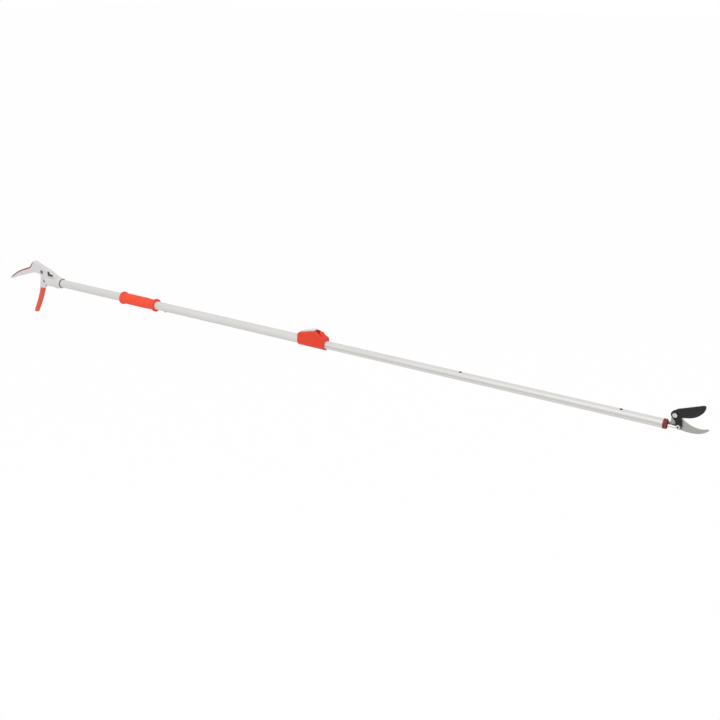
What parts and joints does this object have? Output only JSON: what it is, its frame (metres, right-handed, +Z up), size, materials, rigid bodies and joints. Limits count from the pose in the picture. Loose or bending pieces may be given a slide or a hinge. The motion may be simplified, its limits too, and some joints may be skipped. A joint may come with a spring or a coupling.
{
  "type": "telescopic tree pruner pole",
  "caption": "Long-reach bypass pruner: cast handle with squeeze lever, soft grip, two telescoping tubes with a flip lock, and a hooked cutting head worked by an inner pull rod.",
  "frame": {"origin": "on the pole's axis, in the middle of the front grip sleeve", "axes": "+X along the pole from the handle to the cutting head, +Z up, away from the squeeze lever, -Y towards the side that shows the blade and the safety catch"},
  "size_m": [2.0069, 0.0342, 0.1592],
  "materials": {
    "handle_paint": "satin light grey powder coat on a casting",
    "tube_silver": "pale satin anodised tube",
    "grip_red": "fine grained soft grip",
    "lock_red": "moulded, satin gloss",
    "lever_red": "soft dipped sleeve",
    "pad_red": "soft inlaid pad",
    "plug_red": "moulded",
    "black_plastic": "moulded",
    "blade_black": "black low friction coat",
    "hook_steel": "satin grey blasted steel",
    "bright_steel": "turned, zinc plated",
    "dark_steel": "blackened",
    "spring_steel": "drawn wire or leaf",
    "bush_brass": "turned",
    "white_plastic": "moulded",
    "flip_silver": "moulded, silver grey"
  },
  "bodies": {
    "handle_pole": {"handle_body": "handle_paint", "palm_pad": "pad_red", "lever_pivot_bolt": "dark_steel", "lever_pivot_nut": "bright_steel", "socket_screw": "bright_steel", "seal_ring": "black_plastic", "outer_tube": "tube_silver", "rod_guide": "white_plastic", "return_spring": "spring_steel", "grip_sleeve": "grip_red", "grip_rivet": "dark_steel", "lock_housing": "lock_red", "guide_bush": "black_plastic", "lock_pivot_pin": "bright_steel", "lock_spring": "spring_steel", "lock_screw": "bright_steel"},
    "lever": {"squeeze_lever": "handle_paint", "lever_sleeve": "lever_red", "lever_bush": "bush_brass", "rod_pin": "dark_steel"},
    "catch": {"safety_catch": "black_plastic", "catch_pawl": "bright_steel"},
    "lower_rod": {"rod_yoke": "bright_steel", "lower_pull_tube": "bright_steel", "yoke_pin": "bright_steel", "stop_collar": "bright_steel", "spring_collar": "bright_steel", "rod_coupler": "bright_steel", "latch_spring": "spring_steel"},
    "front_pole": {"inner_tube": "tube_silver", "tail_bush": "black_plastic", "end_plug": "plug_red", "hook_blade": "hook_steel", "tang_rivets": "bright_steel", "pivot_bolt": "bright_steel", "pivot_washer": "bright_steel", "pivot_nut": "bright_steel"},
    "upper_rod": {"upper_pull_rod": "bright_steel", "link_screw": "bright_steel"},
    "blade": {"cutting_blade": "blade_black"},
    "lock_flip": {"lock_lever": "flip_silver"}
  },
  "joints": [
    {"name": "lever_squeeze", "type": "hinge", "parent": "handle_pole", "child": "lever", "pos_m": [-0.374, 0, 0.023], "axis": [0, 1, 0], "range_deg": [0, 38], "stiffness_Nm_per_rad": 1, "springref_deg": -17.19, "deforming": ["return_spring"]},
    {"name": "lower_rod_pull", "type": "slide", "parent": "handle_pole", "child": "lower_rod", "axis": [-1, 0, 0], "range_m": [0, 0.018], "deforming": ["return_spring"]},
    {"name": "pole_extend", "type": "slide", "parent": "handle_pole", "child": "front_pole", "axis": [1, 0, 0], "range_m": [-0.722, 0], "deforming": ["lock_spring", "latch_spring"]},
    {"name": "upper_rod_pull", "type": "slide", "parent": "front_pole", "child": "upper_rod", "axis": [-1, 0, 0], "range_m": [0, 0.018]},
    {"name": "blade_close", "type": "hinge", "parent": "front_pole", "child": "blade", "pos_m": [1.4273, 0, 0.0232], "axis": [0, 1, 0], "range_deg": [0, 41.8]},
    {"name": "lock_lift", "type": "hinge", "parent": "handle_pole", "child": "lock_flip", "pos_m": [0.539, 0, 0.0175], "axis": [0, -1, 0], "range_deg": [0, 36], "stiffness_Nm_per_rad": 0.05, "springref_deg": -22.92, "deforming": ["lock_spring"]},
    {"name": "catch_turn", "type": "hinge", "parent": "handle_pole", "child": "catch", "pos_m": [-0.343, 0, 0.02], "axis": [0, -1, 0], "range_deg": [0, 80]}
  ],
  "couplings": [
    {"joint": "lower_rod_pull", "follows": "lever_squeeze", "m_per_rad": 0.026537},
    {"joint": "upper_rod_pull", "follows": "lever_squeeze", "m_per_rad": 0.026537},
    {"joint": "blade_close", "follows": "lever_squeeze", "ratio": 1.0934}
  ]
}
